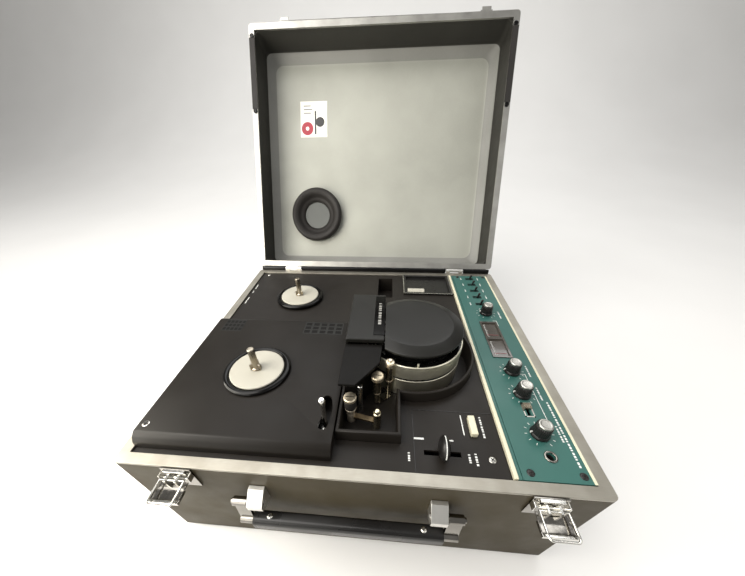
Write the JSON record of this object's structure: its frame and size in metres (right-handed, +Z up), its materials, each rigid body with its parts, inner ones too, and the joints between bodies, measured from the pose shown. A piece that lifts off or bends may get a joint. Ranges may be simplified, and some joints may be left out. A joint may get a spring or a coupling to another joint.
{
  "type": "reel to reel tape deck",
  "caption": "Portable reel to reel video tape deck in a carrying case: hinged lid, draw latches, swing handle, head drum, reel tables, tape path and a control panel.",
  "frame": {"origin": "on the ground, under the centre of the whole deck with its lid open", "axes": "+X towards the control panel, +Y towards the hinges and the open lid, +Z up"},
  "size_m": [0.44, 0.6702, 0.5265],
  "materials": {
    "case_grey": "grey semi-gloss lacquer over board",
    "lid_grey": "grey semi-gloss lacquer over board",
    "rim_aluminium": "satin extrusion",
    "deck_black": "satin black enamel on sheet",
    "moulded_black": "satin moulded",
    "cover_black": "black painted casting",
    "rubber_black": "matt",
    "chrome_bright": "polished",
    "steel_plain": "turned and plated",
    "drum_silver": "fine turned",
    "reel_white": "moulded white face with black rim",
    "trim_cream": "moulded cream",
    "panel_teal": "satin enamel with fine ribs",
    "brass_plain": "turned",
    "meter_dark": "smoked window in a dark frame"
  },
  "bodies": {
    "case": {"case_base": "case_grey", "base_rim": "rim_aluminium", "foot_rail_left": "rubber_black", "foot_rail_right": "rubber_black", "connector_panel": "steel_plain", "hinge_base_left": "chrome_bright", "hinge_base_right": "chrome_bright", "latch_plate_left": "chrome_bright", "latch_plate_right": "chrome_bright", "handle_bracket_left": "chrome_bright", "handle_bracket_right": "chrome_bright", "deck_plate": "deck_black", "reel_cover": "moulded_black", "head_cover": "cover_black", "mechanism_tray": "cover_black", "lower_drum": "drum_silver", "upper_drum": "drum_silver", "drum_cover": "cover_black", "guide_posts": "steel_plain", "control_panel": "panel_teal", "panel_trim": "trim_cream", "meter_unit": "meter_dark", "counter_unit": "moulded_black", "drive_motor": "steel_plain", "drive_belt": "rubber_black"},
    "lid": {"lid_shell": "lid_grey", "lid_rim": "rim_aluminium", "lid_cup": "rubber_black", "lid_strip_left": "rubber_black", "lid_strip_right": "rubber_black", "hinge_lid_left": "chrome_bright", "hinge_lid_right": "chrome_bright"},
    "latch_lever_left": {"latch_lever_left": "chrome_bright"},
    "latch_loop_left": {"latch_loop_left": "chrome_bright"},
    "latch_lever_right": {"latch_lever_right": "chrome_bright"},
    "latch_loop_right": {"latch_loop_right": "chrome_bright"},
    "handle": {"handle_frame": "chrome_bright", "handle_grip": "moulded_black"},
    "head_rotor": {"head_rotor": "steel_plain"},
    "capstan": {"capstan": "steel_plain"},
    "motor_pulley": {"motor_pulley": "brass_plain"},
    "reel_front": {"reel_table_front": "reel_white", "reel_spindle_front": "chrome_bright"},
    "reel_rear": {"reel_table_rear": "reel_white", "reel_spindle_rear": "chrome_bright"},
    "pinch_arm": {"pinch_arm": "brass_plain"},
    "pinch_roller": {"pinch_roller": "rubber_black"},
    "tension_arm": {"tension_arm": "chrome_bright"},
    "function_lever": {"function_lever": "moulded_black"},
    "record_key": {"record_key": "trim_cream"},
    "knob_1": {"knob_1": "moulded_black"},
    "knob_2": {"knob_2": "moulded_black"},
    "knob_3": {"knob_3": "moulded_black"},
    "knob_4": {"knob_4": "moulded_black"},
    "toggle_1": {"toggle_1": "moulded_black"},
    "toggle_2": {"toggle_2": "moulded_black"},
    "toggle_3": {"toggle_3": "moulded_black"},
    "toggle_4": {"toggle_4": "moulded_black"},
    "toggle_5": {"toggle_5": "moulded_black"},
    "slide_switch": {"slide_switch": "chrome_bright"}
  },
  "joints": [
    {"name": "lid_hinge", "type": "hinge", "parent": "case", "child": "lid", "pos_m": [0, 0.09156, 0.1712], "axis": [1, 0, 0], "range_deg": [0, 118.1]},
    {"name": "latch_lever_left_pivot", "type": "hinge", "parent": "case", "child": "latch_lever_left", "pos_m": [-0.158, -0.30904, 0.157], "axis": [1, 0, 0], "range_deg": [0, 90]},
    {"name": "latch_loop_left_pivot", "type": "hinge", "parent": "latch_lever_left", "child": "latch_loop_left", "pos_m": [-0.158, -0.31324, 0.161], "axis": [1, 0, 0], "range_deg": [-196, 0]},
    {"name": "latch_lever_right_pivot", "type": "hinge", "parent": "case", "child": "latch_lever_right", "pos_m": [0.168, -0.30904, 0.157], "axis": [1, 0, 0], "range_deg": [0, 90]},
    {"name": "latch_loop_right_pivot", "type": "hinge", "parent": "latch_lever_right", "child": "latch_loop_right", "pos_m": [0.168, -0.31324, 0.161], "axis": [1, 0, 0], "range_deg": [-196, 0]},
    {"name": "handle_pivot", "type": "hinge", "parent": "case", "child": "handle", "pos_m": [-0.003, -0.31474, 0.13], "axis": [-1, 0, 0], "range_deg": [0, 150]},
    {"name": "head_rotor_spin", "type": "hinge", "parent": "case", "child": "head_rotor", "pos_m": [0.062, -0.13984, 0.18], "axis": [0, 0, 1], "continuous": true},
    {"name": "capstan_spin", "type": "hinge", "parent": "case", "child": "capstan", "pos_m": [0.004, -0.22024, 0.139], "axis": [0, 0, 1], "continuous": true},
    {"name": "motor_spin", "type": "hinge", "parent": "case", "child": "motor_pulley", "pos_m": [0.1, -0.21824, 0.139], "axis": [0, 0, 1], "continuous": true},
    {"name": "reel_front_spin", "type": "hinge", "parent": "case", "child": "reel_front", "pos_m": [-0.1167, -0.19524, 0.184], "axis": [0, 0, 1], "continuous": true},
    {"name": "reel_rear_spin", "type": "hinge", "parent": "case", "child": "reel_rear", "pos_m": [-0.1155, -0.00964, 0.17], "axis": [0, 0, 1], "continuous": true},
    {"name": "pinch_arm_pivot", "type": "hinge", "parent": "case", "child": "pinch_arm", "pos_m": [0.0225, -0.23924, 0.168], "axis": [0, 0, -1], "range_deg": [0, 14]},
    {"name": "pinch_roller_spin", "type": "hinge", "parent": "pinch_arm", "child": "pinch_roller", "pos_m": [-0.0052, -0.23324, 0.185], "axis": [0, 0, 1], "continuous": true},
    {"name": "tension_arm_pivot", "type": "hinge", "parent": "case", "child": "tension_arm", "pos_m": [-0.075, -0.24624, 0.171], "axis": [0, 0, 1], "range_deg": [0, 30], "stiffness_Nm_per_rad": 0.03, "springref_deg": -22.92},
    {"name": "function_lever_pivot", "type": "hinge", "parent": "case", "child": "function_lever", "pos_m": [0.0845, -0.27274, 0.123], "axis": [0, 1, 0], "range_deg": [-15, 15]},
    {"name": "record_key_press", "type": "slide", "parent": "case", "child": "record_key", "axis": [0, 0, -1], "range_m": [0, 0.003], "stiffness_N_per_m": 250, "springref_m": -0.002},
    {"name": "knob_1_turn", "type": "hinge", "parent": "case", "child": "knob_1", "pos_m": [0.179, -0.04324, 0.176], "axis": [0, 0, 1], "range_deg": [-150, 150]},
    {"name": "knob_2_turn", "type": "hinge", "parent": "case", "child": "knob_2", "pos_m": [0.179, -0.16424, 0.176], "axis": [0, 0, 1], "range_deg": [-150, 150]},
    {"name": "knob_3_turn", "type": "hinge", "parent": "case", "child": "knob_3", "pos_m": [0.179, -0.19824, 0.176], "axis": [0, 0, 1], "range_deg": [-150, 150]},
    {"name": "knob_4_turn", "type": "hinge", "parent": "case", "child": "knob_4", "pos_m": [0.179, -0.24724, 0.176], "axis": [0, 0, 1], "range_deg": [-150, 150]},
    {"name": "toggle_1_throw", "type": "hinge", "parent": "case", "child": "toggle_1", "pos_m": [0.1765, 0.06476, 0.165], "axis": [0, -1, 0], "range_deg": [0, 28]},
    {"name": "toggle_2_throw", "type": "hinge", "parent": "case", "child": "toggle_2", "pos_m": [0.1765, 0.04406, 0.165], "axis": [0, -1, 0], "range_deg": [0, 28]},
    {"name": "toggle_3_throw", "type": "hinge", "parent": "case", "child": "toggle_3", "pos_m": [0.1765, 0.02336, 0.165], "axis": [0, -1, 0], "range_deg": [0, 28]},
    {"name": "toggle_4_throw", "type": "hinge", "parent": "case", "child": "toggle_4", "pos_m": [0.1765, 0.00266, 0.165], "axis": [0, -1, 0], "range_deg": [0, 28]},
    {"name": "toggle_5_throw", "type": "hinge", "parent": "case", "child": "toggle_5", "pos_m": [0.1765, -0.01804, 0.165], "axis": [0, -1, 0], "range_deg": [0, 28]},
    {"name": "slide_switch_move", "type": "slide", "parent": "case", "child": "slide_switch", "axis": [0, -1, 0], "range_m": [0, 0.007]}
  ],
  "couplings": [
    {"joint": "latch_loop_left_pivot", "follows": "latch_lever_left_pivot", "ratio": -2.168},
    {"joint": "latch_loop_right_pivot", "follows": "latch_lever_right_pivot", "ratio": -2.168},
    {"joint": "head_rotor_spin", "follows": "capstan_spin", "ratio": 1.6364},
    {"joint": "motor_spin", "follows": "capstan_spin", "ratio": 4}
  ]
}
